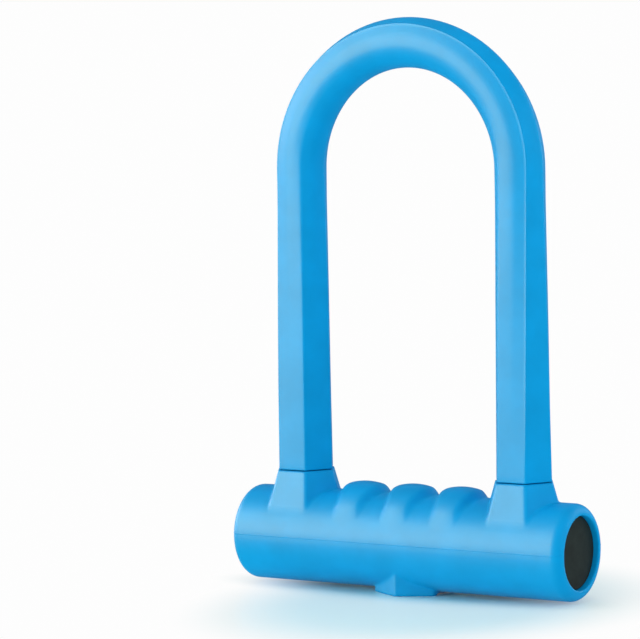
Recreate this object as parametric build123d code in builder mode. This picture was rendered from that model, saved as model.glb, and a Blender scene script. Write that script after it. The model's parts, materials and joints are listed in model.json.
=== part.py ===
"""Keyed U-lock: a sleeved steel shackle that drops into a tubular crossbar.

Millimetres, +Z up. The origin is on the ground under the middle of the lock, +X runs along
the crossbar and -Y is the front. The lock is modelled unlocked, with the shackle seated.
"""
from build123d import *
import os
from math import cos, hypot, pi, sin

# Driving dimensions
CROSSBAR_LENGTH = 165.0
CROSSBAR_RADIUS = 21.0
AXIS_Z = 22.0  # height of the crossbar's axis above the ground
LEG_X = 55.0  # half the distance between the shackle's legs
SPRING_Z = AXIS_Z + 162.5  # where the legs turn into the arch
ROD_RADIUS = 7.0
TUBE_RADIUS = 18.0
TUBE_BORE = 15.0
TUBE_LENGTH = 157.0
FIT = 0.05  # radial clearance of a running fit

# Shackle
FOOT_Z = AXIS_Z - 9.0
FOOT_CHAMFER = 1.5
NOTCH_LOW_Z = AXIS_Z + 4.9
NOTCH_HEIGHT = 6.4
NOTCH_DEPTH = 4.0
SLEEVE_FOOT_Z = AXIS_Z + 29.8
SLEEVE_FOOT_RADIUS = 13.6  # over the hexagon's corners
SLEEVE_FOOT_ROUND = 0.8
SLEEVE_ARCH_RADIUS = 11.9
SLEEVE_ARCH_ROUND = 5.5

# Crossbar sleeve
END_LIP_RADIUS = 16.4
END_HOLE_RADIUS = 16.0
END_CHAMFER_X = 3.0
COLLAR_TOP_Z = AXIS_Z + 29.4
COLLAR_TOP_RADIUS = 14.1
COLLAR_FLARE = 0.315  # growth of the corner radius per millimetre down
COLLAR_DEPTH = 25.0
COLLAR_BORE = ROD_RADIUS + 0.3
BUMP_PITCH = 24.4
BUMP_HALF = 11.2
BUMP_TOP_Z = AXIS_Z + 25.3
BUMP_RADIUS = 18.4  # of each bump's round, seen along the bar
BUMP_EDGE = 8.6
BOSS_RADIUS = 17.6  # over the corners of the hexagonal foot
BOSS_DEPTH = 14.0

# Foot sockets and seals
SOCKET_RADIUS = 10.0
SOCKET_BORE = ROD_RADIUS + 0.2
SOCKET_LOW_Z = AXIS_Z - 11.0
SOCKET_HIGH_Z = AXIS_Z + 18.5
SOCKET_FLOOR = 1.7
SEAL_LOW_Z = AXIS_Z + 25.8
SEAL_HEIGHT = 2.2
SEAL_RADIUS = 9.6

# Lock body, cylinder and bolts
BODY_RADIUS = TUBE_BORE - FIT
BODY_HALF = 43.0
HOUSING_RADIUS = 11.0
HOUSING_LOW_Z = AXIS_Z - 18.0
HOUSING_TOP_Z = AXIS_Z + 0.6
PLUG_RADIUS = 6.0
PLUG_HEAD_RADIUS = 7.2
PLUG_HEAD = 1.2
PLUG_TOP_Z = AXIS_Z + 4.9
TAIL_RADIUS = 2.6
TAIL_HALF_FLAT = 1.9
KEYWAY_WIDTH = 2.4
KEYWAY_SPAN = 7.4
KEYWAY_TOP_Z = AXIS_Z - 1.4
PIN_RADIUS = 1.0
PIN_PITCH = 3.0
PIN_FIRST_Z = AXIS_Z - 14.6
KEY_PIN_LENGTHS = (4.6, 5.0, 4.4, 5.1, 4.8)
PIN_TIP = 0.5
DRIVER_LENGTH = 2.0
COVER_FACE_X = 10.0
COVER_THICKNESS = 0.7
COVER_WIDTH = 3.9
SPRING_RADIUS = 0.72
SPRING_WIRE = 0.13
SPRING_TURNS = 4
CAM_RADIUS = 12.5
CAM_LOW_Z = AXIS_Z + 0.9
CAM_THICKNESS = 3.0
CAM_POCKET_RADIUS = 12.8
CAM_PIN_RADIUS = 1.2
CAM_INNER = 5.0  # radius of the drive pins with the bolts drawn back
CAM_STROKE = 4.8  # travel of each bolt over a quarter turn
SLOT_CLEARANCE = 0.08
SPIRAL_STEPS = 8
CLIP_RADIUS = 3.6
CLIP_THICKNESS = 0.5
CLIP_GROOVE_RADIUS = 2.1
BOLT_LOW_Z = AXIS_Z + 5.2
BOLT_HEIGHT = 5.8
BOLT_WIDTH = 10.0
BOLT_INNER_X = 2.6
BOLT_TIP_X = 46.9
BOLT_CLEARANCE = 0.12
BOLT_CHAMFER = 0.5
CROSS_PIN_X = 30.0
CROSS_PIN_RADIUS = 1.5
CROSS_PIN_BORE = 1.0
CROSS_PIN_TOP_Z = AXIS_Z - 8.0
SCREW_RADIUS = 2.0
SCREW_Z = AXIS_Z - 5.0
SCREW_LENGTH = 6.6
SCREW_SEAT_X = -10.4
SCREW_BORE_OVERRUN = 1.5  # past the wall of the housing's bore

# End caps
CAP_RADIUS = 15.9
CAP_FACE_X = 80.0
CAP_SPIGOT = 8.0
CAP_WALL = 2.0
CAP_CHAMFER = 0.5

# Keyway escutcheon and its sliding dust cover
ESCUTCHEON_LENGTH = 29.0
ESCUTCHEON_WIDTH = 15.0
ESCUTCHEON_CORNER = 2.0
ESCUTCHEON_LOW_Z = 0.4
KEY_HOLE_RADIUS = 3.9
TRACK_LOW_Z = 1.4
TRACK_TOP_Z = 2.8
TRACK_HALF_WIDTH = 5.0
MOUTH_HALF_WIDTH = 4.2
TRACK_START_X = -4.8
TRACK_END_X = 13.4
COVER_PLATE_HALF = 4.6
COVER_CLEARANCE = 0.15
RIB_COUNT = 3
RIB_PITCH = 2.3
RIB_THICKNESS = 0.8
RIB_LENGTH = 6.4

os.makedirs("parts", exist_ok=True)


def save(part, name):
    """Label a finished piece and write it."""
    part.label = name
    export_step(part, f"parts/{name}.step")


def spiral_point(step, steps, side):
    """Point on a cam slot's centre line (side 0) or on one of its edges (side -1 or 1)."""
    turn = step / steps
    angle = -turn * pi / 2
    radius = CAM_INNER + CAM_STROKE * turn
    slope = CAM_STROKE / (pi / 2)
    offset = side * (CAM_PIN_RADIUS + SLOT_CLEARANCE) / hypot(radius, slope)
    x = (radius + offset * radius) * cos(angle) - offset * slope * sin(angle)
    y = (radius + offset * radius) * sin(angle) + offset * slope * cos(angle)
    return (x, y)


# Shackle rod: a round steel bar bent to a U, with a bolt notch inside each foot
with BuildPart() as shackle_rod:
    with BuildLine() as rod_path:
        Line((-LEG_X, 0, FOOT_Z), (-LEG_X, 0, SPRING_Z))
        ThreePointArc((-LEG_X, 0, SPRING_Z), (0, 0, SPRING_Z + LEG_X), (LEG_X, 0, SPRING_Z))
        Line((LEG_X, 0, SPRING_Z), (LEG_X, 0, FOOT_Z))
    with BuildSketch(Plane(origin=(-LEG_X, 0, FOOT_Z), z_dir=(0, 0, 1))):
        Circle(ROD_RADIUS)
    sweep(path=rod_path.wire())
    foot_rims = shackle_rod.edges().filter_by(GeomType.CIRCLE).group_by(Axis.Z)[0]
    chamfer(foot_rims, FOOT_CHAMFER)
    with BuildSketch(Plane.XY.offset(NOTCH_LOW_Z)):
        Rectangle(2 * (LEG_X - ROD_RADIUS + NOTCH_DEPTH), 2 * ROD_RADIUS)
    extrude(amount=NOTCH_HEIGHT, mode=Mode.SUBTRACT)
save(shackle_rod.part, "shackle_rod")

# Shackle sleeve: hexagonal legs that soften upwards into a rounded arch
with BuildPart() as shackle_sleeve:
    for leg_x in (-LEG_X, LEG_X):
        with BuildSketch(Plane.XY.offset(SLEEVE_FOOT_Z)) as sleeve_foot:
            with Locations((leg_x, 0)):
                RegularPolygon(SLEEVE_FOOT_RADIUS, 6)
            fillet(sleeve_foot.vertices(), SLEEVE_FOOT_ROUND)
        with BuildSketch(Plane.XY.offset(SPRING_Z)) as sleeve_shoulder:
            with Locations((leg_x, 0)):
                RegularPolygon(SLEEVE_ARCH_RADIUS, 6)
            fillet(sleeve_shoulder.vertices(), SLEEVE_ARCH_ROUND)
        loft()
    with BuildSketch(Plane.XY.offset(SPRING_Z)) as arch_section:
        with Locations((LEG_X, 0)):
            RegularPolygon(SLEEVE_ARCH_RADIUS, 6)
        fillet(arch_section.vertices(), SLEEVE_ARCH_ROUND)
    revolve(axis=Axis((0, 0, SPRING_Z), (0, -1, 0)), revolution_arc=180)
    with BuildSketch(Plane(origin=(LEG_X, 0, SPRING_Z), z_dir=(0, 0, 1))):
        Circle(ROD_RADIUS)
    revolve(axis=Axis((0, 0, SPRING_Z), (0, -1, 0)), revolution_arc=180, mode=Mode.SUBTRACT)
    with BuildSketch(Plane.XY.offset(SLEEVE_FOOT_Z)):
        with Locations((-LEG_X, 0), (LEG_X, 0)):
            Circle(ROD_RADIUS)
    extrude(amount=SPRING_Z - SLEEVE_FOOT_Z, mode=Mode.SUBTRACT)
save(shackle_sleeve.part, "shackle_sleeve")

# Crossbar tube: holes on top for the feet, one below for the cylinder and two for cross pins
with BuildPart() as crossbar_tube:
    with BuildSketch(Plane(origin=(-TUBE_LENGTH / 2, 0, AXIS_Z), z_dir=(1, 0, 0))):
        Circle(TUBE_RADIUS)
        Circle(TUBE_BORE, mode=Mode.SUBTRACT)
    extrude(amount=TUBE_LENGTH)
    with BuildSketch(Plane.XY.offset(AXIS_Z)):
        with Locations((-LEG_X, 0), (LEG_X, 0)):
            Circle(SOCKET_RADIUS)
    extrude(amount=TUBE_RADIUS + 1, mode=Mode.SUBTRACT)
    with BuildSketch(Plane.XY.offset(AXIS_Z)):
        Circle(HOUSING_RADIUS + FIT)
        with Locations((-CROSS_PIN_X, 0), (CROSS_PIN_X, 0)):
            Circle(CROSS_PIN_RADIUS)
    extrude(amount=-TUBE_RADIUS - 1, mode=Mode.SUBTRACT)
save(crossbar_tube.part, "crossbar_tube")

# One finger bump: a thick disc across the bar with fully rounded rims
with BuildPart() as finger_bump:
    with BuildSketch(Plane(origin=(-BUMP_HALF, 0, BUMP_TOP_Z - BUMP_RADIUS), z_dir=(1, 0, 0))):
        Circle(BUMP_RADIUS)
    extrude(amount=2 * BUMP_HALF)
    fillet(finger_bump.edges().filter_by(GeomType.CIRCLE), BUMP_EDGE)

# Crossbar sleeve: bar, end rings, collars, finger bumps and hexagonal foot in one moulding
with BuildPart() as crossbar_sleeve:
    half = CROSSBAR_LENGTH / 2
    with BuildSketch(Plane.XZ):
        with BuildLine():
            Polyline(
                (-half, AXIS_Z),
                (-half, AXIS_Z + END_LIP_RADIUS),
                (END_CHAMFER_X - half, AXIS_Z + CROSSBAR_RADIUS),
                (half - END_CHAMFER_X, AXIS_Z + CROSSBAR_RADIUS),
                (half, AXIS_Z + END_LIP_RADIUS),
                (half, AXIS_Z),
                close=True,
            )
        make_face()
    revolve(axis=Axis((0, 0, AXIS_Z), (1, 0, 0)))
    for leg_x in (-LEG_X, LEG_X):
        with BuildSketch(Plane.XY.offset(COLLAR_TOP_Z)):
            with Locations((leg_x, 0)):
                RegularPolygon(COLLAR_TOP_RADIUS, 6)
        with BuildSketch(Plane.XY.offset(COLLAR_TOP_Z - COLLAR_DEPTH)):
            with Locations((leg_x, 0)):
                RegularPolygon(COLLAR_TOP_RADIUS + COLLAR_FLARE * COLLAR_DEPTH, 6)
        loft()
    with Locations((-BUMP_PITCH, 0, 0), (0, 0, 0), (BUMP_PITCH, 0, 0)):
        add(finger_bump.part)
    with BuildSketch():
        RegularPolygon(BOSS_RADIUS, 6, rotation=30)
    extrude(amount=BOSS_DEPTH)
    with BuildSketch(Plane(origin=(-TUBE_LENGTH / 2, 0, AXIS_Z), z_dir=(1, 0, 0))):
        Circle(TUBE_RADIUS)
    extrude(amount=TUBE_LENGTH, mode=Mode.SUBTRACT)
    with BuildSketch(Plane(origin=(-half, 0, AXIS_Z), z_dir=(1, 0, 0))):
        Circle(END_HOLE_RADIUS)
    extrude(amount=CROSSBAR_LENGTH, mode=Mode.SUBTRACT)
    with BuildSketch(Plane.XY.offset(AXIS_Z)):
        with Locations((-LEG_X, 0), (LEG_X, 0)):
            Circle(COLLAR_BORE)
    extrude(amount=COLLAR_TOP_Z - AXIS_Z, mode=Mode.SUBTRACT)
    with BuildSketch(Plane.XY.offset(AXIS_Z)):
        with Locations((-LEG_X, 0), (LEG_X, 0)):
            Circle(SOCKET_RADIUS)
    extrude(amount=SOCKET_HIGH_Z - AXIS_Z, mode=Mode.SUBTRACT)
    with BuildSketch(Plane.XY.offset(SEAL_LOW_Z)):
        with Locations((-LEG_X, 0), (LEG_X, 0)):
            Circle(SEAL_RADIUS)
    extrude(amount=SEAL_HEIGHT, mode=Mode.SUBTRACT)
    with BuildSketch(Plane.XY.offset(HOUSING_LOW_Z - FIT)):
        Circle(HOUSING_RADIUS + FIT)
    extrude(amount=AXIS_Z - HOUSING_LOW_Z, mode=Mode.SUBTRACT)
    with BuildSketch() as escutcheon_pocket:
        Rectangle(ESCUTCHEON_LENGTH, ESCUTCHEON_WIDTH)
        fillet(escutcheon_pocket.vertices(), ESCUTCHEON_CORNER)
    extrude(amount=AXIS_Z, mode=Mode.SUBTRACT)
save(crossbar_sleeve.part, "crossbar_sleeve")

# End caps: a round face inside the end ring and a hollow spigot in the tube
for side_name, side in (("left", -1), ("right", 1)):
    with BuildPart() as end_cap:
        with BuildSketch(Plane(origin=(side * TUBE_LENGTH / 2, 0, AXIS_Z), z_dir=(side, 0, 0))):
            Circle(CAP_RADIUS)
        extrude(amount=CAP_FACE_X - TUBE_LENGTH / 2)
        with BuildSketch(Plane(origin=(side * TUBE_LENGTH / 2, 0, AXIS_Z), z_dir=(-side, 0, 0))):
            Circle(TUBE_BORE)
            Circle(TUBE_BORE - CAP_WALL, mode=Mode.SUBTRACT)
        extrude(amount=CAP_SPIGOT)
        face_rim = end_cap.edges().filter_by(GeomType.CIRCLE).sort_by(Axis.X)[-1 if side > 0 else 0]
        chamfer(face_rim, CAP_CHAMFER)
    save(end_cap.part, f"end_cap_{side_name}")

# Foot sockets: cups that guide the shackle's feet, with a window for the bolt
for side_name, side in (("left", -1), ("right", 1)):
    with BuildPart() as foot_socket:
        with BuildSketch(Plane.XY.offset(SOCKET_LOW_Z)):
            with Locations((side * LEG_X, 0)):
                Circle(SOCKET_RADIUS)
        extrude(amount=SOCKET_HIGH_Z - SOCKET_LOW_Z)
        with BuildSketch(Plane.XY.offset(SOCKET_LOW_Z + SOCKET_FLOOR)):
            with Locations((side * LEG_X, 0)):
                Circle(SOCKET_BORE)
        extrude(amount=SOCKET_HIGH_Z - SOCKET_LOW_Z, mode=Mode.SUBTRACT)
        with BuildSketch(Plane.XY.offset(BOLT_LOW_Z - BOLT_CLEARANCE)):
            with Locations((side * (LEG_X - SOCKET_RADIUS), 0)):
                Rectangle(SOCKET_RADIUS, BOLT_WIDTH + 2 * BOLT_CLEARANCE)
        extrude(amount=BOLT_HEIGHT + 2 * BOLT_CLEARANCE, mode=Mode.SUBTRACT)
    save(foot_socket.part, f"foot_socket_{side_name}")

# Collar seals: rubber rings that wipe the shackle's legs
for side_name, side in (("left", -1), ("right", 1)):
    with BuildPart() as collar_seal:
        with BuildSketch(Plane.XY.offset(SEAL_LOW_Z)):
            with Locations((side * LEG_X, 0)):
                Circle(SEAL_RADIUS)
                Circle(ROD_RADIUS + 2 * FIT, mode=Mode.SUBTRACT)
        extrude(amount=SEAL_HEIGHT)
    save(collar_seal.part, f"collar_seal_{side_name}")

# Lock body: a cast block in the tube that carries the cylinder, the cam and both bolts
with BuildPart() as lock_body:
    with BuildSketch(Plane(origin=(-BODY_HALF, 0, AXIS_Z), z_dir=(1, 0, 0))):
        Circle(BODY_RADIUS)
    extrude(amount=2 * BODY_HALF)
    with BuildSketch(Plane.XY.offset(AXIS_Z - TUBE_RADIUS)):
        Circle(HOUSING_RADIUS + FIT)
    extrude(amount=TUBE_RADIUS, mode=Mode.SUBTRACT)
    with BuildSketch(Plane.XY.offset(AXIS_Z)):
        Circle(HOUSING_RADIUS + FIT)
    extrude(amount=HOUSING_TOP_Z - AXIS_Z, mode=Mode.SUBTRACT)
    with BuildSketch(Plane.XY.offset(HOUSING_TOP_Z)):
        Circle(CAM_POCKET_RADIUS)
    extrude(amount=TUBE_RADIUS, mode=Mode.SUBTRACT)
    with BuildSketch(Plane.XY.offset(BOLT_LOW_Z - BOLT_CLEARANCE)):
        Rectangle(2 * BODY_HALF, BOLT_WIDTH + 2 * BOLT_CLEARANCE)
    extrude(amount=BOLT_HEIGHT + 2 * BOLT_CLEARANCE, mode=Mode.SUBTRACT)
    with BuildSketch(Plane.XY.offset(CROSS_PIN_TOP_Z)):
        with Locations((-CROSS_PIN_X, 0), (CROSS_PIN_X, 0)):
            Circle(CROSS_PIN_RADIUS)
    extrude(amount=-TUBE_RADIUS, mode=Mode.SUBTRACT)
    with BuildSketch(Plane(origin=(-BODY_HALF, 0, SCREW_Z), z_dir=(1, 0, 0))):
        Circle(SCREW_RADIUS)
    extrude(amount=BODY_HALF - HOUSING_RADIUS + SCREW_BORE_OVERRUN, mode=Mode.SUBTRACT)
save(lock_body.part, "lock_body")

# Cross pins: two slotted spring pins that fix the lock body in the tube
with BuildPart() as cross_pins:
    with BuildSketch(Plane.XY.offset(CROSS_PIN_TOP_Z)):
        with Locations((-CROSS_PIN_X, 0), (CROSS_PIN_X, 0)):
            Circle(CROSS_PIN_RADIUS)
            Circle(CROSS_PIN_BORE, mode=Mode.SUBTRACT)
            with Locations((0, CROSS_PIN_RADIUS)):
                Rectangle(CROSS_PIN_BORE / 2, CROSS_PIN_RADIUS, mode=Mode.SUBTRACT)
    extrude(amount=AXIS_Z - TUBE_RADIUS + 2 * FIT - CROSS_PIN_TOP_Z)
save(cross_pins.part, "cross_pins")

# Cylinder screw: a grub screw along the body that locks the housing
with BuildPart() as cylinder_screw:
    with BuildSketch(Plane(origin=(SCREW_SEAT_X, 0, SCREW_Z), z_dir=(-1, 0, 0))):
        Circle(SCREW_RADIUS)
    extrude(amount=SCREW_LENGTH)
    with BuildSketch(Plane(origin=(SCREW_SEAT_X - SCREW_LENGTH, 0, SCREW_Z), z_dir=(1, 0, 0))):
        RegularPolygon(SCREW_RADIUS / 2, 6)
    extrude(amount=SCREW_RADIUS, mode=Mode.SUBTRACT)
save(cylinder_screw.part, "cylinder_screw")

# Cylinder housing: a round barrel with five pin chambers on its +X side
pin_heights = [PIN_FIRST_Z + PIN_PITCH * i for i in range(len(KEY_PIN_LENGTHS))]
chamber_points = [(0, height) for height in pin_heights]
with BuildPart() as cylinder_housing:
    with BuildSketch(Plane.XY.offset(HOUSING_LOW_Z)):
        Circle(HOUSING_RADIUS)
        Circle(PLUG_RADIUS + FIT, mode=Mode.SUBTRACT)
    extrude(amount=HOUSING_TOP_Z - HOUSING_LOW_Z)
    with BuildSketch(Plane.XY.offset(HOUSING_LOW_Z)):
        Circle(PLUG_HEAD_RADIUS + FIT)
    extrude(amount=PLUG_HEAD + FIT, mode=Mode.SUBTRACT)
    cover_low_z = pin_heights[0] - PIN_PITCH / 2
    cover_height = PIN_PITCH * len(pin_heights)
    with BuildSketch(Plane.XY.offset(cover_low_z)):
        with Locations((COVER_FACE_X + HOUSING_RADIUS / 2, 0)):
            Rectangle(HOUSING_RADIUS, COVER_WIDTH)
    extrude(amount=cover_height, mode=Mode.SUBTRACT)
    with BuildSketch(Plane.YZ.offset(PLUG_RADIUS / 2)):
        with Locations(*chamber_points):
            Circle(PIN_RADIUS + FIT)
    extrude(amount=HOUSING_RADIUS, mode=Mode.SUBTRACT)
    with BuildSketch(Plane(origin=(SCREW_SEAT_X, 0, SCREW_Z), z_dir=(-1, 0, 0))):
        Circle(SCREW_RADIUS)
    extrude(amount=HOUSING_RADIUS, mode=Mode.SUBTRACT)
save(cylinder_housing.part, "cylinder_housing")

# Cylinder plug: keyway, pin bores and a flatted tail with a clip groove
with BuildPart() as cylinder_plug:
    with BuildSketch(Plane.XY.offset(HOUSING_LOW_Z)):
        Circle(PLUG_HEAD_RADIUS)
    extrude(amount=PLUG_HEAD)
    with BuildSketch(Plane.XY.offset(HOUSING_LOW_Z)):
        Circle(PLUG_RADIUS)
    extrude(amount=HOUSING_TOP_Z - HOUSING_LOW_Z)
    with BuildSketch(Plane.XY.offset(HOUSING_TOP_Z)):
        Circle(TAIL_RADIUS)
        Rectangle(2 * TAIL_HALF_FLAT, 2 * TAIL_RADIUS, mode=Mode.INTERSECT)
    extrude(amount=PLUG_TOP_Z - HOUSING_TOP_Z)
    with BuildSketch(Plane.XY.offset(CAM_LOW_Z + CAM_THICKNESS)):
        Circle(TAIL_RADIUS)
        Circle(CLIP_GROOVE_RADIUS, mode=Mode.SUBTRACT)
    extrude(amount=CLIP_THICKNESS, mode=Mode.SUBTRACT)
    with BuildSketch(Plane.XY.offset(HOUSING_LOW_Z)):
        Rectangle(KEYWAY_WIDTH, KEYWAY_SPAN)
    extrude(amount=KEYWAY_TOP_Z - HOUSING_LOW_Z, mode=Mode.SUBTRACT)
    with BuildSketch(Plane.YZ):
        with Locations(*chamber_points):
            Circle(PIN_RADIUS + FIT)
    extrude(amount=HOUSING_RADIUS, mode=Mode.SUBTRACT)
save(cylinder_plug.part, "cylinder_plug")

# Key pins: five pointed pins whose outer ends stand on the shear line
with BuildPart() as key_pins:
    for height, length in zip(pin_heights, KEY_PIN_LENGTHS):
        outer_x = PLUG_RADIUS - 2 * FIT
        with BuildSketch(Plane(origin=(outer_x, 0, height), z_dir=(-1, 0, 0))):
            Circle(PIN_RADIUS)
        extrude(amount=length - PIN_TIP)
        with BuildSketch(Plane(origin=(outer_x - length + PIN_TIP, 0, height), z_dir=(-1, 0, 0))):
            Circle(PIN_RADIUS)
        extrude(amount=PIN_TIP, taper=45)
save(key_pins.part, "key_pins")

# Driver pins: five short pins outside the shear line
with BuildPart() as driver_pins:
    for height in pin_heights:
        with BuildSketch(Plane(origin=(PLUG_RADIUS + 2 * FIT, 0, height), z_dir=(1, 0, 0))):
            Circle(PIN_RADIUS)
        extrude(amount=DRIVER_LENGTH)
save(driver_pins.part, "driver_pins")

# Pin springs: five small coils between the driver pins and the cover strip
spring_start_x = PLUG_RADIUS + 2 * FIT + DRIVER_LENGTH + SPRING_WIRE + FIT
spring_span = COVER_FACE_X - SPRING_WIRE - FIT - spring_start_x
with BuildPart() as pin_springs:
    for height in pin_heights:
        coil = Helix(
            pitch=spring_span / SPRING_TURNS,
            height=spring_span,
            radius=SPRING_RADIUS,
            center=(spring_start_x, 0, height),
            direction=(1, 0, 0),
            mode=Mode.PRIVATE,
        )
        with BuildSketch(Plane(origin=coil @ 0, z_dir=coil % 0)):
            Circle(SPRING_WIRE)
        sweep(path=coil, is_frenet=True)
save(pin_springs.part, "pin_springs")

# Pin cover: the strip that closes the spring chambers
with BuildPart() as pin_cover:
    with BuildSketch(Plane.XY.offset(cover_low_z)):
        with Locations((COVER_FACE_X + COVER_THICKNESS / 2, 0)):
            Rectangle(COVER_THICKNESS, COVER_WIDTH)
    extrude(amount=cover_height)
save(pin_cover.part, "pin_cover")

# Cam disc: two spiral slots that push the drive pins outwards over a quarter turn
with BuildPart() as cam_disc:
    with BuildSketch(Plane.XY.offset(CAM_LOW_Z)):
        Circle(CAM_RADIUS)
        with BuildSketch(mode=Mode.SUBTRACT):
            Circle(TAIL_RADIUS + FIT)
            Rectangle(2 * (TAIL_HALF_FLAT + FIT), 2 * CAM_RADIUS, mode=Mode.INTERSECT)
        with BuildSketch(mode=Mode.PRIVATE) as spiral_slot:
            with BuildLine():
                inner_edge = Spline(*[spiral_point(i, SPIRAL_STEPS, -1) for i in range(SPIRAL_STEPS + 1)])
                outer_edge = Spline(*[spiral_point(i, SPIRAL_STEPS, 1) for i in range(SPIRAL_STEPS + 1)])
                Line(inner_edge @ 0, outer_edge @ 0)
                Line(inner_edge @ 1, outer_edge @ 1)
            make_face()
            with Locations(spiral_point(0, SPIRAL_STEPS, 0), spiral_point(SPIRAL_STEPS, SPIRAL_STEPS, 0)):
                Circle(CAM_PIN_RADIUS + SLOT_CLEARANCE)
        with Locations(Location((0, 0, 0)), Location((0, 0, 0), (0, 0, 180))):
            add(spiral_slot.sketch, mode=Mode.SUBTRACT)
    extrude(amount=CAM_THICKNESS)
save(cam_disc.part, "cam_disc")

# Cam clip: a snap ring in the tail's groove
with BuildPart() as cam_clip:
    with BuildSketch(Plane.XY.offset(CAM_LOW_Z + CAM_THICKNESS)):
        Circle(CLIP_RADIUS)
        Circle(CLIP_GROOVE_RADIUS, mode=Mode.SUBTRACT)
        with Locations((0, CLIP_RADIUS)):
            Rectangle(CLIP_GROOVE_RADIUS, 2 * CLIP_GROOVE_RADIUS, mode=Mode.SUBTRACT)
    extrude(amount=CLIP_THICKNESS)
save(cam_clip.part, "cam_clip")

# Bolts and their drive pins
for side_name, side in (("left", -1), ("right", 1)):
    with BuildPart() as bolt:
        bolt_length = BOLT_TIP_X - BOLT_INNER_X
        with BuildSketch(Plane.XY.offset(BOLT_LOW_Z)):
            with Locations((side * (BOLT_INNER_X + bolt_length / 2), 0)):
                Rectangle(bolt_length, BOLT_WIDTH)
        extrude(amount=BOLT_HEIGHT)
        tip_face = bolt.faces().filter_by(Axis.X).sort_by(Axis.X)[-1 if side > 0 else 0]
        chamfer(tip_face.edges(), BOLT_CHAMFER)
        with BuildSketch(Plane.XY.offset(BOLT_LOW_Z)):
            with Locations((side * CAM_INNER, 0)):
                Circle(CAM_PIN_RADIUS)
        extrude(amount=BOLT_HEIGHT / 2, mode=Mode.SUBTRACT)
    save(bolt.part, f"bolt_{side_name}")
    with BuildPart() as drive_pin:
        with BuildSketch(Plane.XY.offset(CAM_LOW_Z + FIT)):
            with Locations((side * CAM_INNER, 0)):
                Circle(CAM_PIN_RADIUS)
        extrude(amount=BOLT_LOW_Z + BOLT_HEIGHT / 2 - CAM_LOW_Z - FIT)
    save(drive_pin.part, f"drive_pin_{side_name}")

# Escutcheon: a plate in the foot with a key hole and a track for the dust cover
with BuildPart() as escutcheon:
    with BuildSketch(Plane.XY.offset(ESCUTCHEON_LOW_Z)) as plate_outline:
        Rectangle(ESCUTCHEON_LENGTH, ESCUTCHEON_WIDTH)
        fillet(plate_outline.vertices(), ESCUTCHEON_CORNER)
    extrude(amount=AXIS_Z - TUBE_BORE - ESCUTCHEON_LOW_Z)
    with BuildSketch(Plane(origin=(-ESCUTCHEON_LENGTH, 0, AXIS_Z), z_dir=(1, 0, 0))):
        Circle(TUBE_RADIUS)
    extrude(amount=2 * ESCUTCHEON_LENGTH, mode=Mode.SUBTRACT)
    with BuildSketch(Plane.XY.offset(HOUSING_LOW_Z - FIT)):
        Circle(HOUSING_RADIUS + FIT)
    extrude(amount=HOUSING_RADIUS, mode=Mode.SUBTRACT)
    track_length = TRACK_END_X - TRACK_START_X
    track_centre = (TRACK_END_X + TRACK_START_X) / 2
    with BuildSketch(Plane.XY.offset(TRACK_LOW_Z)):
        with Locations((track_centre, 0)):
            Rectangle(track_length, 2 * TRACK_HALF_WIDTH)
    extrude(amount=TRACK_TOP_Z - TRACK_LOW_Z, mode=Mode.SUBTRACT)
    with BuildSketch(Plane.XY):
        with Locations((track_centre, 0)):
            Rectangle(track_length, 2 * MOUTH_HALF_WIDTH)
    extrude(amount=TRACK_LOW_Z, mode=Mode.SUBTRACT)
    with BuildSketch(Plane.XY):
        Circle(KEY_HOLE_RADIUS)
    extrude(amount=HOUSING_LOW_Z, mode=Mode.SUBTRACT)
save(escutcheon.part, "escutcheon")

# Dust cover: a shutter in the track, with a thumb ridge on its open side
with BuildPart() as dust_cover:
    with BuildSketch(Plane.XY.offset(TRACK_LOW_Z + FIT)):
        Rectangle(2 * COVER_PLATE_HALF, 2 * (TRACK_HALF_WIDTH - COVER_CLEARANCE))
    extrude(amount=TRACK_TOP_Z - TRACK_LOW_Z - 2 * FIT)
    with BuildSketch(Plane.XY.offset(TRACK_LOW_Z + FIT)):
        Rectangle(2 * COVER_PLATE_HALF, 2 * (MOUTH_HALF_WIDTH - COVER_CLEARANCE))
    extrude(amount=-(TRACK_LOW_Z - ESCUTCHEON_LOW_Z) / 2)
    with BuildSketch(Plane.XY.offset(TRACK_LOW_Z)):
        with GridLocations(RIB_PITCH, 1, RIB_COUNT, 1):
            Rectangle(RIB_THICKNESS, RIB_LENGTH)
    extrude(amount=ESCUTCHEON_LOW_Z - TRACK_LOW_Z)
save(dust_cover.part, "dust_cover")
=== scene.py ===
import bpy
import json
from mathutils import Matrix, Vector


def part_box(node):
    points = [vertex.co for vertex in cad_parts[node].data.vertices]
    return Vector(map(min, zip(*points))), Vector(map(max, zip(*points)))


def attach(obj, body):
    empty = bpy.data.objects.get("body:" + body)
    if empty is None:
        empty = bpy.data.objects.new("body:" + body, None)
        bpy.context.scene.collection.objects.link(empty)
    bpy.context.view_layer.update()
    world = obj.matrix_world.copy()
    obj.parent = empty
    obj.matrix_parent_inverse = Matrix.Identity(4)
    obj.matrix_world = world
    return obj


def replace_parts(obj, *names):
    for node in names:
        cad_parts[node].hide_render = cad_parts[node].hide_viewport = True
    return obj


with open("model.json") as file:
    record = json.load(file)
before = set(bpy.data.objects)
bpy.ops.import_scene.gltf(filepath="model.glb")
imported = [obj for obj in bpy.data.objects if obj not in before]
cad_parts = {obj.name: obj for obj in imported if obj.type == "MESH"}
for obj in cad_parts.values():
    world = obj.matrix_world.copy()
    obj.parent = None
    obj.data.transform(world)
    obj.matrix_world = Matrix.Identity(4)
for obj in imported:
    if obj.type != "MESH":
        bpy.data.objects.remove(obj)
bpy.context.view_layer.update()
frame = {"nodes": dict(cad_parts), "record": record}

import json
from math import cos, pi, radians, sin

import bmesh
import bpy
import numpy as np
from mathutils import Matrix, Vector

MM = 0.001
HEX_TURN = pi / 6  # from the middle of a hexagon's side to its corner

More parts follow.
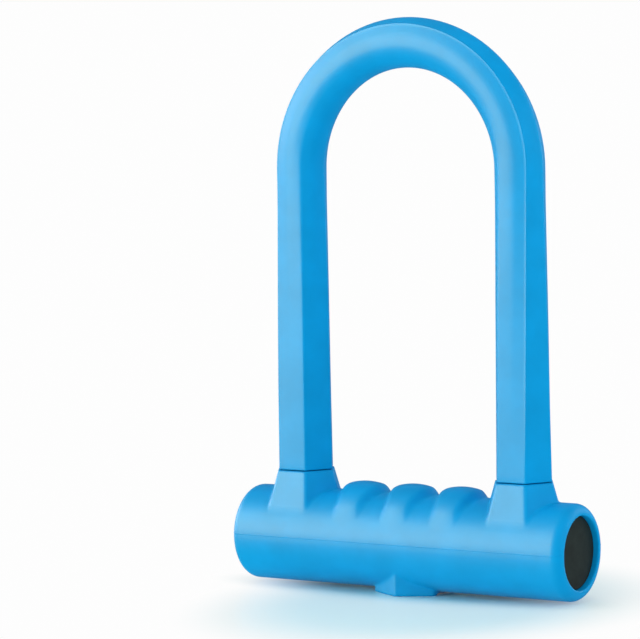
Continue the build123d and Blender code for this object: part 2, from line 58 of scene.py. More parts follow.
# Dimensions read from the frame, in metres
tube_low, tube_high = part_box("crossbar_tube")
bar_low, bar_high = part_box("crossbar_sleeve")
seal_low, seal_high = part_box("collar_seal_right")
housing_low, housing_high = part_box("cylinder_housing")
rod_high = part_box("shackle_rod")[1]
socket_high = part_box("foot_socket_right")[1]
plate_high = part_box("escutcheon")[1]
cap_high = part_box("end_cap_right")[1]

AXIS_Z = (tube_low.z + tube_high.z) / 2
TUBE_RADIUS = (tube_high.z - tube_low.z) / 2
TUBE_HALF = tube_high.x
ROD_RADIUS = rod_high.y
LEG_X = rod_high.x - ROD_RADIUS
SPRING_Z = rod_high.z - LEG_X - ROD_RADIUS
BAR_HALF = bar_high.x
BAR_RADIUS = bar_high.y
COLLAR_TOP = bar_high.z - AXIS_Z
SLEEVE_FOOT_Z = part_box("shackle_sleeve")[0].z

# Crossbar sleeve. Heights are from the bar's axis. An apothem is half the width across flats, at the
# top where the shape is flared, and a flare is its growth for each metre further down.
END_LIP = 16.4 * MM
END_ROUND = BAR_RADIUS - END_LIP
END_HOLE = cap_high.y + 0.1 * MM
COLLAR_APOTHEM = 14.1 * MM * cos(HEX_TURN)
COLLAR_FLARE = 0.315 * cos(HEX_TURN)
COLLAR_CORNER = 0.9 * MM
COLLAR_RIM = 0.35 * MM
COLLAR_ROOT = BAR_RADIUS * sin(pi / 8)
COLLAR_FILLET = 0.7 * MM
BUMP_PITCH = 24.4 * MM
BUMP_HALF = 11.5 * MM
BUMP_TOP = 25.3 * MM
BUMP_RADIUS = 18.4 * MM
BUMP_EDGE = 5.5 * MM
BUMP_CROWN = 28.0 * MM
BUMP_APOTHEM = 9.1 * MM
BUMP_FLARE = 0.40
BUMP_FLANK_EDGE = 1.3 * MM
BUMP_FILLET = 1.2 * MM
BOSS_APOTHEM = 17.6 * MM * cos(HEX_TURN)
BOSS_CORNER = 0.8 * MM
BOSS_RIM = 0.5 * MM
BOSS_ROOT = -BAR_RADIUS / 3
BOSS_FILLET = 0.6 * MM
ROD_GAP = 0.3 * MM
PLATE_CORNER = 2.0 * MM
HOLE_EDGE = 0.4 * MM

# Mesh of the crossbar sleeve
GRID_STEP = 0.77 * MM
GRID_MARGIN = 1.5 * MM
SETTLE_ROUNDS = 3
SLOPE_REACH = 0.05  # of a cell
LEAST_SLOPE = 0.05
LONGEST_MOVE = 0.5  # of a cell
TINY = 1e-12

# Parting line on the crossbar sleeve
SEAM_RISE = 1.2 * MM
SEAM_HALF = 0.38 * MM
SEAM_PROUD = 0.13 * MM
SEAM_SUNK = 0.5 * MM
SEAM_ARC_STEPS = 8
SEAM_STOPS = 58
SEAM_END_STOPS = 9
SEAM_END_TURN = radians(80)

# Shackle sleeve. Its tables of (place, value) run from foot (0) to shoulder (1) to crown (2).
# Angles are in degrees, from the front face outwards.
CORNER_STEPS = 16
RING_STEP = 3.0 * MM
FOOT_EDGE = 0.4 * MM
FOOT_EDGE_STEPS = 6
FOOT_INSET = 0.5 * MM
BORE_RADIUS = ROD_RADIUS + 0.02 * MM
FOOT_APOTHEM = 11.75 * MM
ARCH_APOTHEM = 10.2 * MM
APOTHEM = [(0, FOOT_APOTHEM), (0.9, ARCH_APOTHEM), (2, ARCH_APOTHEM)]
INNER_SWELL = [(0, 0), (0.6, 0.7 * MM), (1, 1.1 * MM), (2, 0.7 * MM)]
CROWN_SWELL = 0.45 * MM
CREST_TURN = 90
INNER_TURNS = (210, 270, 330)
OUTER_TURN = [(0, 30), (0.8, 38), (1, 40), (2, 46)]
OUTER_REACH = [(0, 30), (0.5, 28), (1, 24), (2, 21)]
OUTER_SOFT = 1.2
CREST_REACH = [(0, 30), (0.5, 28), (1, 25), (2, 22)]
CREST_SOFT = [(0, 1.2), (0.5, 2.5), (1, 6), (2, 9)]
INNER_REACH = [(0, 30), (0.6, 29), (1, 22), (1.5, 14), (2, 8)]
INNER_SOFT = [(0, 1.2), (0.6, 1.8), (1, 4), (1.5, 7), (2, 8)]
BEAD_HEIGHT = 0.28 * MM
BEAD_WIDTH = 1.1
BEAD_GROWTH = 4  # the ridge reaches its full height after 1/4 of a leg


# ---------------------------------------------------------------- distance fields

def round_and(a, b, radius):
    """Where both shapes are, with an edge of that radius between them."""
    flat = np.minimum(-radius, np.maximum(a, b))
    return flat + np.hypot(np.maximum(a + radius, 0), np.maximum(b + radius, 0))


def round_or(a, b, radius):
    """Where either shape is, with a fillet of that radius between them."""
    flat = np.maximum(radius, np.minimum(a, b))
    return flat - np.hypot(np.maximum(radius - a, 0), np.maximum(radius - b, 0))


def soft_abs(value, radius):
    """Absolute value with its crease rounded."""
    return np.sqrt(value * value + radius * radius)


def hexagon(x, y, apothem, edge):
    """Distance to a hexagon with two corners on the x axis and rounded corners."""
    side = soft_abs(y, edge / 2) * sin(HEX_TURN) + np.abs(x) * cos(HEX_TURN) - apothem
    return round_and(np.abs(y) - apothem, side, edge)


def bar_body(x, y, z):
    """The crossbar's round body, with each end rounded down to its lip."""
    return round_and(np.hypot(y, z) - BAR_RADIUS, np.abs(x) - BAR_HALF, END_ROUND)


def collar(x, y, z):
    """The flared hexagonal collars round both legs."""
    apothem = COLLAR_APOTHEM + COLLAR_FLARE * (COLLAR_TOP - z)
    sides = hexagon(np.abs(x) - LEG_X, y, apothem, COLLAR_CORNER) / np.hypot(1, COLLAR_FLARE)
    return np.maximum(round_and(sides, z - COLLAR_TOP, COLLAR_RIM), COLLAR_ROOT - z)


def finger_bump(x, y, z):
    """One of the three bumps between the collars: a crowned tread with rounded rims and tapered flanks."""
    tread = np.hypot(y, z - BUMP_TOP + BUMP_RADIUS) - BUMP_RADIUS + x * x / (2 * BUMP_CROWN)
    disc = round_and(np.abs(x) - BUMP_HALF, tread, BUMP_EDGE)
    apothem = BUMP_APOTHEM + BUMP_FLARE * (BUMP_TOP - z)
    flank = np.abs(x) * cos(HEX_TURN) + soft_abs(y, BUMP_FLANK_EDGE) * sin(HEX_TURN) - apothem
    return round_and(disc, flank / np.hypot(1, BUMP_FLARE), BUMP_FLANK_EDGE)


def foot_boss(x, y, z):
    """The hexagonal foot that the lock stands on, with two corners on the y axis."""
    sides = hexagon(y, x, BOSS_APOTHEM, BOSS_CORNER)
    return np.maximum(round_and(sides, -z - AXIS_Z, BOSS_RIM), z - BOSS_ROOT)


def cavity(x, y, z):
    """Everything hollow inside the crossbar sleeve, which the lock's other pieces fill."""
    around_bar = np.hypot(y, z)
    around_leg = np.hypot(np.abs(x) - LEG_X, y)
    seal_middle = (seal_low.z + seal_high.z) / 2 - AXIS_Z
    seal_half = (seal_high.z - seal_low.z) / 2
    hollows = [
        np.maximum(around_bar - TUBE_RADIUS, np.abs(x) - TUBE_HALF),
        around_bar - END_HOLE,
        np.maximum(around_leg - ROD_RADIUS - ROD_GAP, -z),
        np.maximum(around_leg - socket_high.y, np.maximum(z + AXIS_Z - socket_high.z, -z)),
        np.maximum(around_leg - seal_high.y, np.abs(z - seal_middle) - seal_half),
        np.maximum(np.hypot(x, y) - housing_high.x, np.maximum(z, housing_low.z - AXIS_Z - z)),
        np.maximum(round_and(np.abs(x) - plate_high.x, np.abs(y) - plate_high.y, PLATE_CORNER), z),
    ]
    return np.minimum.reduce(hollows)


def crossbar_field(points):
    """Distance to the crossbar sleeve's surface, negative inside."""
    x, y, z = points[:, 0], points[:, 1], points[:, 2] - AXIS_Z
    solid = round_or(bar_body(x, y, z), collar(x, y, z), COLLAR_FILLET)
    for shift in (-BUMP_PITCH, 0, BUMP_PITCH):
        solid = round_or(solid, finger_bump(x - shift, y, z), BUMP_FILLET)
    solid = round_or(solid, foot_boss(x, y, z), BOSS_FILLET)
    return round_and(solid, -cavity(x, y, z), HOLE_EDGE)


# ---------------------------------------------------------------- meshing a field

def axis_crossings(grid, value, axis, step):
    """Where a field changes sign along an axis.

    Gives the points, the four cells round each, and whether their order faces outwards.
    """
    first = [slice(None)] * 3
    second = [slice(None)] * 3
    first[axis] = slice(None, -1)
    second[axis] = slice(1, None)
    a = value[tuple(first)]
    b = value[tuple(second)]
    index = np.argwhere((a < 0) != (b < 0))
    from_value, to_value = a[tuple(index.T)], b[tuple(index.T)]
    points = grid[tuple(index.T)]
    points[:, axis] += from_value / (from_value - to_value) * step
    side, other_side = [k for k in range(3) if k != axis]
    around = []
    for back, other_back in ((0, 0), (1, 0), (1, 1), (0, 1)):
        cell = index.copy()
        cell[:, side] -= back
        cell[:, other_side] -= other_back
        around.append(cell)
    cells = np.array(value.shape) - 1
    inside = np.all([(cell >= 0).all(1) & (cell < cells).all(1) for cell in around], 0)
    outwards = (from_value[inside] < 0) == (axis != 1)
    return points[inside], [cell[inside] for cell in around], outwards


def surface_net(field, low, high, step):
    """Quads over the zero level of a field, with each vertex moved onto it."""
    axes = [np.arange(a, b + step, step) for a, b in zip(low, high)]
    grid = np.stack(np.meshgrid(*axes, indexing="ij"), -1)
    value = field(grid.reshape(-1, 3)).reshape(grid.shape[:3])
    cells = tuple(n - 1 for n in value.shape)
    total = np.zeros(cells + (3,))
    count = np.zeros(cells, int)
    crossings = [axis_crossings(grid, value, axis, step) for axis in range(3)]
    for points, around, _ in crossings:
        for cell in around:
            np.add.at(total, tuple(cell.T), points)
            np.add.at(count, tuple(cell.T), 1)
    used = count > 0
    number = np.full(cells, -1)
    number[used] = np.arange(used.sum())
    vertices = total[used] / count[used][:, None]
    quads = []
    for _, around, outwards in crossings:
        quad = np.stack([number[tuple(cell.T)] for cell in around], 1)
        quad[~outwards] = quad[~outwards, ::-1]
        quads.append(quad)
    for _ in range(SETTLE_ROUNDS):
        vertices = settle(field, vertices, step)
    return vertices, np.concatenate(quads)


def gradient(field, points, reach):
    """Slope of a field by central differences."""
    slopes = []
    for axis in range(3):
        shift = np.zeros(3)
        shift[axis] = reach
        slopes.append((field(points + shift) - field(points - shift)) / (2 * reach))
    return np.stack(slopes, 1)


def settle(field, points, step):
    """Move points along the slope onto the zero level, by less than a cell."""
    slope = gradient(field, points, SLOPE_REACH * step)
    size = np.maximum((slope * slope).sum(1), LEAST_SLOPE)
    move = -(field(points) / size)[:, None] * slope
    length = np.linalg.norm(move, axis=1, keepdims=True)
    return points + move * np.minimum(1, LONGEST_MOVE * step / np.maximum(length, TINY))


# ---------------------------------------------------------------- making pieces

def new_piece(name, vertices, faces, material, body):
    """A smooth mesh piece that rides on a CAD body, with its faces turned outwards."""
    mesh = bpy.data.meshes.new(name)
    mesh.from_pydata([tuple(v) for v in vertices], [], [tuple(map(int, f)) for f in faces])
    shell = bmesh.new()
    shell.from_mesh(mesh)
    bmesh.ops.recalc_face_normals(shell, faces=shell.faces)
    shell.to_mesh(mesh)
    shell.free()
    mesh.materials.append(material)
    mesh.shade_smooth()
    piece = bpy.data.objects.new(name, mesh)
    bpy.context.scene.collection.objects.link(piece)
    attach(piece, body)
    return piece


def ring_faces(rings, size, close=False):
    """Quads between neighbouring rings of the same size."""
    faces = []
    for ring in range(rings if close else rings - 1):
        here = ring * size
        there = (ring + 1) % rings * size
        for k in range(size):
            nxt = (k + 1) % size
            faces.append((here + k, here + nxt, there + nxt, there + k))
    return faces


def make_crossbar_sleeve(material):
    """The blue moulding on the crossbar."""
    low = [c - GRID_MARGIN for c in bar_low]
    high = [c + GRID_MARGIN for c in bar_high]
    vertices, quads = surface_net(crossbar_field, low, high, GRID_STEP)
    piece = new_piece("crossbar_sleeve_skin", vertices, quads, material, "crossbar")
    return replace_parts(piece, "crossbar_sleeve")


def seam_stops():
    """(x, radius of the bar there) of each section of the parting line, from the left end to the right."""
    start = BAR_HALF - END_ROUND
    turns = np.linspace(SEAM_END_TURN, 0, SEAM_END_STOPS)
    bend = [(start + END_ROUND * sin(turn), END_LIP + END_ROUND * cos(turn)) for turn in turns]
    straight = [(x, BAR_RADIUS) for x in np.linspace(-start, start, SEAM_STOPS)[1:-1]]
    return [(-x, radius) for x, radius in bend] + straight + bend[::-1]


def make_parting_line(name, side, material):
    """A fine raised seam along the crossbar just above its axis, over its rounded ends."""
    stops = seam_stops()
    middle = AXIS_Z + SEAM_RISE
    vertices = []
    for x, radius in stops:
        face = np.sqrt(radius * radius - SEAM_RISE * SEAM_RISE)
        for k in range(SEAM_ARC_STEPS + 1):
            turn = pi * k / SEAM_ARC_STEPS
            vertices.append((x, side * (face + SEAM_PROUD * sin(turn)), middle + SEAM_HALF * cos(turn)))
        vertices.append((x, side * (face - SEAM_SUNK), middle - SEAM_HALF / 2))
        vertices.append((x, side * (face - SEAM_SUNK), middle + SEAM_HALF / 2))
    size = SEAM_ARC_STEPS + 3
    faces = ring_faces(len(stops), size)
    faces.append(tuple(range(size)))
    faces.append(tuple(range((len(stops) - 1) * size, len(stops) * size)))
    return new_piece(name, vertices, faces, material, "crossbar")


# ---------------------------------------------------------------- the shackle's sleeve

def from_table(place, table):
    """Value of a table of (place, value) pairs, linear between them."""
    return float(np.interp(place, [row[0] for row in table], [row[1] for row in table]))


def section_corners(along):
    """(angle, reach, softness) in degrees of each corner of the section at a place along the sleeve."""
    turn = from_table(along, OUTER_TURN)
    outer = from_table(along, OUTER_REACH), OUTER_SOFT
    crest = from_table(along, CREST_REACH), from_table(along, CREST_SOFT)
    inner = from_table(along, INNER_REACH), from_table(along, INNER_SOFT)
    return [
        (turn, *outer),
        (CREST_TURN, *crest),
        (180 - turn, *outer),
        *[(place, *inner) for place in INNER_TURNS],
    ]


def section_angles(corners):
    """Angles round the section in degrees, closer together near its corners."""
    angles = []
    for corner, following in zip(corners, corners[1:] + corners[:1]):
        span = (following[0] - corner[0]) % 360
        for k in range(CORNER_STEPS):
            angles.append(corner[0] + span * (1 - cos(pi * k / CORNER_STEPS)) / 2)
    return np.array(angles)


def section_ring(along):
    """Angles in radians and radii of the sleeve's outer section at a place along it."""
    corners = section_corners(along)
    angles = section_angles(corners)
    apothem = from_table(along, APOTHEM)
    radii = np.full(len(angles), apothem)
    for number, (place, reach, soft) in enumerate(corners):
        away = np.abs((angles - place + 180) % 360 - 180)
        lean = np.maximum(0, reach - np.sqrt(away * away + soft * soft))
        radii = np.maximum(radii, apothem / np.cos(np.radians(lean)))
        if number in (0, 2):
            radii += BEAD_HEIGHT * np.exp(-((away / BEAD_WIDTH) ** 2)) * min(1, BEAD_GROWTH * along)
    turns = np.radians(angles)
    radii += from_table(along, INNER_SWELL) * np.maximum(0, -np.sin(turns))
    radii += CROWN_SWELL * max(0, along - 1) * np.maximum(0, np.sin(turns))
    return turns, radii


def sleeve_path():
    """(centre, outward direction, place along) of each ring from the left foot to the right one."""
    foot = SLEEVE_FOOT_Z + FOOT_EDGE
    leg_rings = int((SPRING_Z - foot) / RING_STEP)
    heights = np.linspace(foot, SPRING_Z, leg_rings + 1)
    places = (heights - SLEEVE_FOOT_Z) / (SPRING_Z - SLEEVE_FOOT_Z)
    path = [((-LEG_X, 0, h), (-1, 0, 0), place) for h, place in zip(heights, places)]
    arch_rings = int(pi * LEG_X / RING_STEP)
    for k in range(1, arch_rings):
        turn = pi * k / arch_rings
        out = (-cos(turn), 0, sin(turn))
        centre = (out[0] * LEG_X, 0, SPRING_Z + out[2] * LEG_X)
        path.append((centre, out, 1 + sin(turn)))
    path += [((LEG_X, 0, h), (1, 0, 0), place) for h, place in zip(heights[::-1], places[::-1])]
    return path


def place_ring(centre, out, angles, radii):
    """Points round a centre at one radius or many, with angle 0 at the front and 90 degrees outwards."""
    front = np.array((0, -1, 0))
    across = np.cos(angles)[:, None] * front + np.sin(angles)[:, None] * np.array(out)
    return np.array(centre) + np.reshape(radii, (-1, 1)) * across


def foot_rings(side):
    """Rings round the rounded edge of one foot and into its bore."""
    out = (side, 0, 0)
    angles, radii = section_ring(0)
    rings = []
    for turn in np.linspace(pi / 2, 0, FOOT_EDGE_STEPS)[1:]:
        centre = (side * LEG_X, 0, SLEEVE_FOOT_Z + FOOT_EDGE * (1 - cos(turn)))
        rings.append(place_ring(centre, out, angles, radii - FOOT_EDGE * (1 - sin(turn))))
    foot = (side * LEG_X, 0, SLEEVE_FOOT_Z)
    rings.append(place_ring(foot, out, angles, ROD_RADIUS + FOOT_INSET))
    mouth = (side * LEG_X, 0, SLEEVE_FOOT_Z + FOOT_INSET)
    rings.append(place_ring(mouth, out, angles, BORE_RADIUS))
    return rings


def shackle_sleeve_rings():
    """Rings over the outside of the sleeve, round its feet and back through its bore."""
    outside = []
    bore = []
    for centre, out, along in sleeve_path():
        angles, radii = section_ring(along)
        outside.append(place_ring(centre, out, angles, radii))
        bore.append(place_ring(centre, out, angles, BORE_RADIUS))
    return outside + foot_rings(1) + bore[-2:0:-1] + foot_rings(-1)[::-1]


def make_shackle_sleeve(material):
    """The blue sleeve on the shackle."""
    rings = shackle_sleeve_rings()
    faces = ring_faces(len(rings), len(rings[0]), close=True)
    vertices = np.concatenate(rings)
    piece = new_piece("shackle_sleeve_skin", vertices, faces, material, "shackle")
    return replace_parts(piece, "shackle_sleeve")


# ---------------------------------------------------------------- materials

SPECK_LIFT = 0.004  # how much paler the specks in a near-black colour are, beyond its share


def shader(name):
    """A new material, its node tree and its Principled node."""
    material = bpy.data.materials.new(name)
    material.use_nodes = True
    tree = material.node_tree
    return material, tree, tree.nodes["Principled BSDF"]


def noise(tree, scale, detail, stretch=(1, 1, 1)):
    """Noise in the object's own space, stretched along its axes."""
    place = tree.nodes.new("ShaderNodeTexCoord")
    mapping = tree.nodes.new("ShaderNodeMapping")
    mapping.inputs["Scale"].default_value = stretch
    texture = tree.nodes.new("ShaderNodeTexNoise")
    texture.inputs["Scale"].default_value = scale
    texture.inputs["Detail"].default_value = detail
    tree.links.new(place.outputs["Object"], mapping.inputs["Vector"])
    tree.links.new(mapping.outputs["Vector"], texture.inputs["Vector"])
    return texture.outputs["Fac"]


def ramp(tree, source, start, end):
    """Colour ramp over a value, between two stops of (position, colour)."""
    made = tree.nodes.new("ShaderNodeValToRGB")
    for element, (position, colour) in zip(made.color_ramp.elements, (start, end)):
        element.position = position
        element.color = (*colour, 1)
    tree.links.new(source, made.inputs["Fac"])
    return made.outputs["Color"]


def spread(tree, source, low, high):
    """Maps a 0 to 1 value to a range."""
    made = tree.nodes.new("ShaderNodeMapRange")
    made.inputs["To Min"].default_value = low
    made.inputs["To Max"].default_value = high
    tree.links.new(source, made.inputs["Value"])
    return made.outputs["Result"]


def bump(tree, source, strength, distance, base=None):
    """A bump from a height value, on top of another if given."""
    made = tree.nodes.new("ShaderNodeBump")
    made.inputs["Strength"].default_value = strength
    made.inputs["Distance"].default_value = distance
    tree.links.new(source, made.inputs["Height"])
    if base is not None:
        tree.links.new(base, made.inputs["Normal"])
    return made.outputs["Normal"]


def tinted(colour, share):
    """A colour times a share, no brighter than 1."""
    return tuple(min(1, c * share) for c in colour)


def silicone(name, colour):
    """Satin moulded silicone: fine grain, faint mottling and a soft sheen."""
    material, tree, surface = shader(name)
    cloud = noise(tree, scale=60, detail=3)
    mottle = ramp(tree, cloud, (0.3, tinted(colour, 0.93)), (0.7, tinted(colour, 1.05)))
    grain = noise(tree, scale=2600, detail=2)
    satin = spread(tree, noise(tree, scale=900, detail=4), low=0.40, high=0.50)
    drift = bump(tree, noise(tree, scale=45, detail=2), strength=0.05, distance=0.4 * MM)
    relief = bump(tree, grain, strength=0.12, distance=0.05 * MM, base=drift)
    tree.links.new(mottle, surface.inputs["Base Color"])
    tree.links.new(satin, surface.inputs["Roughness"])
    tree.links.new(relief, surface.inputs["Normal"])
    surface.inputs["Specular IOR Level"].default_value = 0.15
    return material


def metal(name, colour, roughness, grain_scale, stretch):
    """Machined metal with brushing along one axis and faint tarnish."""
    material, tree, surface = shader(name)
    cloud = noise(tree, scale=140, detail=6)
    stain = ramp(tree, cloud, (0.25, tinted(colour, 0.78)), (0.65, colour))
    brush = noise(tree, grain_scale, detail=3, stretch=stretch)
    finish = spread(tree, brush, low=roughness - 0.08, high=roughness + 0.10)
    tree.links.new(stain, surface.inputs["Base Color"])
    tree.links.new(finish, surface.inputs["Roughness"])
    tree.links.new(bump(tree, brush, strength=0.15, distance=0.03 * MM), surface.inputs["Normal"])
    surface.inputs["Metallic"].default_value = 1.0
    return material


def cast_metal(name, colour):
    """Die-cast metal with an orange-peel skin."""
    material, tree, surface = shader(name)
    cloud = noise(tree, scale=300, detail=5)
    stain = ramp(tree, cloud, (0.3, tinted(colour, 0.7)), (0.7, colour))
    finish = spread(tree, noise(tree, scale=700, detail=3), low=0.42, high=0.6)
    peel = bump(tree, noise(tree, scale=900, detail=4), strength=0.3, distance=0.08 * MM)
    tree.links.new(stain, surface.inputs["Base Color"])
    tree.links.new(finish, surface.inputs["Roughness"])
    tree.links.new(peel, surface.inputs["Normal"])
    surface.inputs["Metallic"].default_value = 0.9
    return material


def moulded(name, colour, roughness):
    """Moulded plastic or rubber with a spark-eroded grain."""
    material, tree, surface = shader(name)
    pale = tuple(c + SPECK_LIFT for c in tinted(colour, 1.35))
    tone = ramp(tree, noise(tree, scale=220, detail=5), (0.35, colour), (0.75, pale))
    finish = spread(tree, noise(tree, scale=1500, detail=2), low=roughness - 0.06, high=roughness + 0.08)
    grain = bump(tree, noise(tree, scale=2200, detail=3), strength=0.25, distance=0.05 * MM)
    tree.links.new(tone, surface.inputs["Base Color"])
    tree.links.new(finish, surface.inputs["Roughness"])
    tree.links.new(grain, surface.inputs["Normal"])
    surface.inputs["Specular IOR Level"].default_value = 0.18
    return material


SILICONE_BLUE = (0.0, 0.322, 0.70)
STEEL = (0.62, 0.61, 0.74)
PLATED = (0.52, 0.52, 0.60)
DARK_STEEL = (0.28, 0.28, 0.29)
ZINC = (0.52, 0.53, 0.58)
BRASS = (0.72, 0.50, 0.20)
BLACK = (0.012, 0.012, 0.014)
CHARCOAL = (0.024, 0.017, 0.016)
NYLON = (0.03, 0.03, 0.032)

# How far the brushing of each metal is drawn out along its axes: less is longer
ROD_BRUSH = (1, 1, 0.05)
TUBE_BRUSH = (0.05, 1, 1)
PLATE_BRUSH = (0.04, 1, 1)
BRASS_BRUSH = (1, 1, 0.1)
EVEN = (1, 1, 1)

SLOT_MATERIALS = {
    "silicone": silicone("silicone_blue", SILICONE_BLUE),
    "hardened_steel": metal("hardened_steel", STEEL, 0.28, 500, ROD_BRUSH),
    "tube_steel": metal("plated_steel", PLATED, 0.36, 400, TUBE_BRUSH),
    "plate_steel": metal("stainless_plate", STEEL, 0.30, 700, PLATE_BRUSH),
    "spring_steel": metal("spring_steel", DARK_STEEL, 0.32, 900, EVEN),
    "cast_zinc": cast_metal("cast_zinc", ZINC),
    "brass": metal("machined_brass", BRASS, 0.27, 800, BRASS_BRUSH),
    "cap_plastic": moulded("cap_plastic", CHARCOAL, 0.60),
    "socket_nylon": moulded("socket_nylon", NYLON, 0.46),
    "seal_rubber": moulded("seal_rubber", BLACK, 0.66),
}


def dress_frame():
    """Give each CAD node the procedural material of its slot."""
    slots = {entry["node"]: entry["material_slot"] for entry in frame["record"]["subparts"]}
    for name, obj in frame["nodes"].items():
        material = SLOT_MATERIALS[slots[name]]
        if not obj.material_slots:
            obj.data.materials.append(material)
        for slot in obj.material_slots:
            slot.material = material


# ---------------------------------------------------------------- studio

CAMERA_AZIMUTH = 0.5293
CAMERA_DISTANCE = 1.444
CAMERA_RISE = 0.2100
CAMERA_YAW = CAMERA_AZIMUTH + 0.0274
CAMERA_PITCH = 0.0775
CAMERA_ROLL = -0.0159
CAMERA_LENS = 187.13
CAMERA_SENSOR = 36
CAMERA_REACH = 100

BACKDROP_WHITE = (0.985, 0.985, 0.985)
DOME_RADIUS = 9.0
DOME_RINGS = 12
DOME_STEPS = 48
DOME_START = -0.2  # the dome's angles are up from the horizon, in radians
DOME_END = pi / 2 - 0.05

FLOOR_RADIUS = 7.0
FLOOR_STEPS = 96
FLOOR_COLOUR = (0.98, 0.91, 0.93)
# The floor's glow is the backdrop's white to the camera, and this colour where it lights the lock
FLOOR_BOUNCE = (0.25, 0.985, 0.985)
# Painted shade: the floor's glow is cut back in an oval pool round the lock, and most in a smaller one
# under it.
# Each pool is its centre, its half-axes, the shares of them where it starts and ends to fade, and the
# share of the backdrop's white in its middle.
WIDE_PAINTED_SHADE = ((0.022, -0.022, 0), (0.100, 0.130, 1), 0.45, 1.05, 0.38)
CONTACT_PAINTED_SHADE = ((0, 0, 0), (0.105, 0.036, 1), 0.35, 1.0, 0.0)

WORLD_STRENGTH = 0.45
WORLD_GLOSS = 0.20
LIGHT_TARGET = Vector((0, 0, 0.1))
LIGHT_DISTANCE = 2.0
COOL = (0.48, 0.96, 1.0)
GREENISH = (0.48, 0.96, 0.82)
WARM = (1.0, 0.94, 0.48)
PALE = (1.0, 0.97, 0.90)
# Each soft light's name, angle to the left of the front, angle up, size in metres, power and colour.
# A fill lights matt colour only, and a sheen is only seen in gloss.
FILL_LIGHTS = [
    ("left_low_fill", 35, 8, (1.3, 0.8), 20.0, GREENISH),
    ("left_high_fill", 50, 62, (1.3, 1.0), 4.0, COOL),
    ("top_fill", -45, 82, (1.4, 1.4), 7.5, COOL),
    ("right_front_fill", -35, 15, (1.2, 1.0), 3.4, COOL),
    ("right_side_fill", -95, 20, (1.2, 1.2), 12.0, COOL),
    ("back_fill", 165, 30, (1.3, 1.0), 6.0, COOL),
]
SHEEN_LIGHTS = [
    ("left_low_sheen", 35, 8, (1.3, 0.8), 90.0, WARM),
    ("left_middle_sheen", 38, 33, (1.3, 0.8), 57.0, WARM),
    ("left_side_sheen", 85, 12, (1.2, 1.0), 53.0, PALE),
    ("back_right_sheen", -150, 14, (1.0, 0.8), 8.6, PALE),
]


def make_camera():
    """The camera at the front, turned towards the right end."""
    data = bpy.data.cameras.new("camera")
    data.lens = CAMERA_LENS
    data.sensor_width = CAMERA_SENSOR
    data.sensor_fit = "HORIZONTAL"
    data.clip_end = CAMERA_REACH
    camera = bpy.data.objects.new("camera", data)
    bpy.context.scene.collection.objects.link(camera)
    bpy.context.scene.camera = camera
    forward = Vector((
        -sin(CAMERA_YAW) * cos(CAMERA_PITCH),
        cos(CAMERA_YAW) * cos(CAMERA_PITCH),
        -sin(CAMERA_PITCH),
    ))
    right = Vector((cos(CAMERA_YAW), sin(CAMERA_YAW), 0))
    up = right.cross(forward)
    rolled_right = right * cos(CAMERA_ROLL) + up * sin(CAMERA_ROLL)
    rolled_up = up * cos(CAMERA_ROLL) - right * sin(CAMERA_ROLL)
    turn = Matrix((rolled_right, rolled_up, -forward)).transposed().to_4x4()
    place = Vector((
        CAMERA_DISTANCE * sin(CAMERA_AZIMUTH),
        -CAMERA_DISTANCE * cos(CAMERA_AZIMUTH),
        AXIS_Z + CAMERA_RISE,
    ))
    camera.matrix_world = Matrix.Translation(place) @ turn


def make_soft_light(name, left, rise, size, power, colour):
    """A rectangular soft light, at angles in degrees to the left of the front and up, aimed at the lock."""
    across, up = radians(left), radians(rise)
    towards = Vector((-sin(across) * cos(up), -cos(across) * cos(up), sin(up)))
    data = bpy.data.lights.new(name, "AREA")
    data.shape = "RECTANGLE"
    data.size, data.size_y = size
    data.energy = power
    data.color = colour
    light = bpy.data.objects.new(name, data)
    bpy.context.scene.collection.objects.link(light)
    light.location = LIGHT_TARGET + towards * LIGHT_DISTANCE
    light.rotation_euler = (-towards).to_track_quat("-Z", "Y").to_euler()
    return light


def make_lights():
    """The fills, and the sheens that give the satin highlights."""
    for settings in FILL_LIGHTS:
        make_soft_light(*settings).visible_glossy = False
    for settings in SHEEN_LIGHTS:
        make_soft_light(*settings).visible_diffuse = False


def oval_fade(tree, centre, reach, start, end, low):
    """A value that rises from low to 1 away from a centre, over an oval with those half-axes."""
    place = tree.nodes.new("ShaderNodeNewGeometry")
    shift = tree.nodes.new("ShaderNodeVectorMath")
    shift.operation = "SUBTRACT"
    shift.inputs[1].default_value = centre
    scale = tree.nodes.new("ShaderNodeVectorMath")
    scale.operation = "DIVIDE"
    scale.inputs[1].default_value = reach
    length = tree.nodes.new("ShaderNodeVectorMath")
    length.operation = "LENGTH"
    fade = tree.nodes.new("ShaderNodeMapRange")
    fade.interpolation_type = "SMOOTHSTEP"
    fade.inputs["From Min"].default_value = start
    fade.inputs["From Max"].default_value = end
    fade.inputs["To Min"].default_value = low
    tree.links.new(place.outputs["Position"], shift.inputs[0])
    tree.links.new(shift.outputs["Vector"], scale.inputs[0])
    tree.links.new(scale.outputs["Vector"], length.inputs[0])
    tree.links.new(length.outputs["Value"], fade.inputs["Value"])
    return fade.outputs["Result"]


def new_stage(name, vertices, faces, material):
    """A stage mesh that gloss doesn't see."""
    mesh = bpy.data.meshes.new(name)
    mesh.from_pydata(vertices, [], faces)
    mesh.materials.append(material)
    stage = bpy.data.objects.new(name, mesh)
    bpy.context.scene.collection.objects.link(stage)
    stage.visible_glossy = False
    return stage


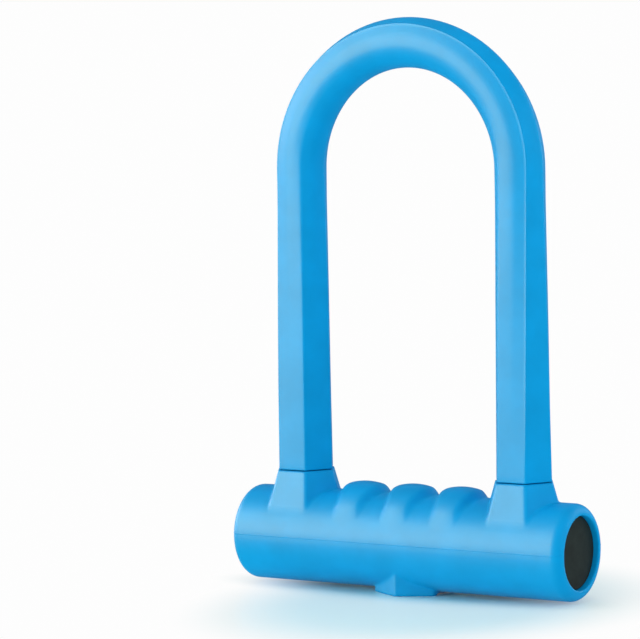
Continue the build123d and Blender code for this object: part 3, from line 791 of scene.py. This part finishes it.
def make_floor():
    """A pale floor that glows as white as the backdrop further out, with painted shade round the lock where
    its glow is cut back.
    """
    material, tree, surface = shader("floor")
    surface.inputs["Base Color"].default_value = (*FLOOR_COLOUR, 1)
    surface.inputs["Roughness"].default_value = 0.30
    surface.inputs["Specular IOR Level"].default_value = 0.45
    # Painted shade: the two ovals cut the glow back round and under the lock, so the lamps' real shade
    # shows there as well.
    fade = tree.nodes.new("ShaderNodeMath")
    fade.operation = "MULTIPLY"
    tree.links.new(oval_fade(tree, *WIDE_PAINTED_SHADE), fade.inputs[0])
    tree.links.new(oval_fade(tree, *CONTACT_PAINTED_SHADE), fade.inputs[1])
    glow = tree.nodes.new("ShaderNodeEmission")
    ray = tree.nodes.new("ShaderNodeLightPath")
    tint = ramp(tree, ray.outputs["Is Camera Ray"], (0, FLOOR_BOUNCE), (1, BACKDROP_WHITE))
    mix = tree.nodes.new("ShaderNodeMixShader")
    tree.links.new(tint, glow.inputs["Color"])
    tree.links.new(fade.outputs["Value"], mix.inputs["Fac"])
    tree.links.new(surface.outputs["BSDF"], mix.inputs[1])
    tree.links.new(glow.outputs["Emission"], mix.inputs[2])
    tree.links.new(mix.outputs["Shader"], tree.nodes["Material Output"].inputs["Surface"])
    turns = [2 * pi * k / FLOOR_STEPS for k in range(FLOOR_STEPS)]
    corners = [(FLOOR_RADIUS * cos(turn), FLOOR_RADIUS * sin(turn), 0) for turn in turns]
    new_stage("floor", corners, [tuple(range(FLOOR_STEPS))], material)


def make_backdrop():
    """A white dome that only the camera sees."""
    material, tree, _ = shader("backdrop")
    glow = tree.nodes.new("ShaderNodeEmission")
    glow.inputs["Color"].default_value = (*BACKDROP_WHITE, 1)
    tree.links.new(glow.outputs["Emission"], tree.nodes["Material Output"].inputs["Surface"])
    vertices = []
    for rise in np.linspace(DOME_START, DOME_END, DOME_RINGS):
        across = DOME_RADIUS * cos(rise)
        for k in range(DOME_STEPS):
            turn = 2 * pi * k / DOME_STEPS
            vertices.append((across * cos(turn), across * sin(turn), DOME_RADIUS * sin(rise)))
    top = tuple(range((DOME_RINGS - 1) * DOME_STEPS, DOME_RINGS * DOME_STEPS))
    dome = new_stage("backdrop", vertices, ring_faces(DOME_RINGS, DOME_STEPS) + [top], material)
    dome.visible_diffuse = False
    dome.visible_transmission = False
    dome.visible_shadow = False


def make_world():
    """Even cool light from everywhere, dimmer and paler where it is seen in gloss."""
    world = bpy.data.worlds.new("studio")
    bpy.context.scene.world = world
    world.use_nodes = True
    tree = world.node_tree
    ray = tree.nodes.new("ShaderNodeLightPath")
    strength = spread(tree, ray.outputs["Is Glossy Ray"], WORLD_STRENGTH, WORLD_GLOSS)
    tint = ramp(tree, ray.outputs["Is Glossy Ray"], (0, COOL), (1, PALE))
    tree.links.new(strength, tree.nodes["Background"].inputs["Strength"])
    tree.links.new(tint, tree.nodes["Background"].inputs["Color"])


bpy.context.scene.view_settings.view_transform = "Standard"
make_camera()
make_shackle_sleeve(SLOT_MATERIALS["silicone"])
make_crossbar_sleeve(SLOT_MATERIALS["silicone"])
make_parting_line("parting_line_front", -1, SLOT_MATERIALS["silicone"])
make_parting_line("parting_line_back", 1, SLOT_MATERIALS["silicone"])
dress_frame()
make_floor()
make_backdrop()
make_world()
make_lights()
